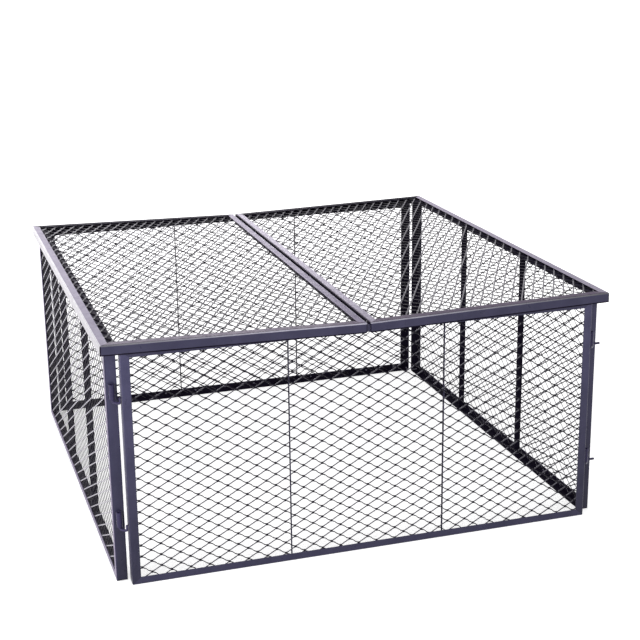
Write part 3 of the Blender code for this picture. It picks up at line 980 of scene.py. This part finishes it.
def addBead(bm, start, end, radius):
    # A rippled weld bead with rounded ends
    length = (end - start).length
    ripples = length / beadLook["ripple"]
    steps = max(beadLook["fewestSteps"], round(ripples * beadLook["rippleSteps"]))
    aside = (end - start).normalized().orthogonal() * radius * beadLook["wander"]
    points, radii = [], []
    for step in range(steps + 1):
        share = step / steps
        toEnd = min(share, 1.0 - share) * length
        taper = math.sqrt(max(beadLook["endTaper"], min(1.0, toEnd / radius)))
        ripple = 1.0 + beadLook["rippleDepth"] * math.sin(2 * math.pi * share * ripples)
        stray = math.sin(share * beadLook["wanderTurn"] + start.x * beadLook["wanderStart"])
        points.append(start.lerp(end, share) + aside * stray)
        radii.append(radius * taper * ripple)
    sweep(bm, points, radii, beadLook["sides"])


def addTack(bm, centre, turn):
    # A flattened, slightly uneven dome of weld metal
    made = bmesh.ops.create_icosphere(bm, subdivisions=2, radius=1.0)["verts"]
    for vertex in made:
        # Its bumps differ with its place
        wave = math.sin(vertex.co.x * 4.0 + centre.x * 90.0) * math.cos(vertex.co.z * 5.0 + centre.z * 80.0)
        uneven = 1.0 + tackLook["uneven"] * wave
        vertex.co = Vector([vertex.co[i] * tackLook["size"][i] * uneven for i in range(3)])
    bmesh.ops.rotate(bm, verts=made, matrix=Matrix.Rotation(turn, 3, "Y"))
    bmesh.ops.translate(bm, verts=made, vec=centre)


def addFrameWelds(bm, low, high, legTo, netBack):
    # In the frame's own axes: a bead down each inner corner, and tacks that hold the sheet
    inset, short = cornerWeld["inset"], cornerWeld["short"]
    for x in (low.x + inset, high.x - inset):
        for z in (low.z + inset, high.z - inset):
            start, end = Vector((x, netBack + short, z)), Vector((x, legTo - short, z))
            addBead(bm, start, end, cornerWeld["radius"])
    edge, margin = tackLook["inset"], tackLook["margin"]
    for axis in (0, 2):
        other = 2 - axis
        span = high[axis] - low[axis] - 2 * margin
        count = round(span / tackLook["spacing"])
        for number in range(count + 1):
            for place in (low[other] + edge, high[other] - edge):
                centre = alongAxis(1, netBack)
                centre[axis] = low[axis] + margin + span * number / count
                centre[other] = place
                addTack(bm, centre, number * tackLook["turn"])


def makeWallWelds(name, axes):
    low, high = frameBoxOf([f"{name}_wall_{side}" for side in frameSides], axes)
    netLow, netHigh = localBox(name + "_wall_mesh", axes)
    bm = bmesh.new()
    addFrameWelds(bm, low, high, high.y, netHigh.y)
    aside, past = barWeld["aside"], barWeld["past"]
    for number in (1, 2):
        barLow, barHigh = localBox(f"{name}_wall_bar_{number}", axes)
        ends = (barLow.y + barWeld["outerShort"], barHigh.y - barWeld["innerShort"])
        for x in (barLow.x - aside, barHigh.x + aside):
            for z in (barLow.z - past, barHigh.z + past):
                addBead(bm, *[Vector((x, y, z)) for y in ends], barWeld["radius"])
    apart, out, short = barrelWeld["apart"], barrelWeld["out"], barrelWeld["short"]
    for level in ("lower", "upper"):
        barrelLow, barrelHigh = localBox(f"{name}_{level}_barrel", axes)
        middle = (barrelLow.y + barrelHigh.y) / 2
        ends = (barrelLow.z + short, barrelHigh.z - short)
        for y in (middle - apart, middle + apart):
            addBead(bm, *[Vector((high.x + out, y, z)) for z in ends], barrelWeld["radius"])
    apart, out = rodWeld["apart"], rodWeld["out"]
    for place in pintleWelds[name]:
        foot = axes.inverted() @ place
        ends = (foot.z + rodWeld["from"], foot.z + rodWeld["to"])
        for y in (foot.y - apart, foot.y + apart):
            addBead(bm, *[Vector((low.x - out, y, z)) for z in ends], rodWeld["radius"])
    bmesh.ops.transform(bm, matrix=axes, verts=bm.verts)
    bmesh.ops.recalc_face_normals(bm, faces=bm.faces)
    addPiece(name + "WallWelds", bm, "walls", ("weld",))


def makeLidWelds(name, axes):
    low, high = frameBoxOf([f"{name}_{side}" for side in lidSides], axes)
    netLow, netHigh = localBox(name + "_mesh", axes)
    bm = bmesh.new()
    addFrameWelds(bm, low, high, high.y, netHigh.y)
    bmesh.ops.transform(bm, matrix=axes, verts=bm.verts)
    bmesh.ops.recalc_face_normals(bm, faces=bm.faces)
    addPiece(camel(name) + "Welds", bm, name, ("weld",))


for wallName, axes in wallFrames.items():
    makeWallWelds(wallName, axes)
for lidName, axes in lidFrames.items():
    makeLidWelds(lidName, axes)
print("welds are laid")
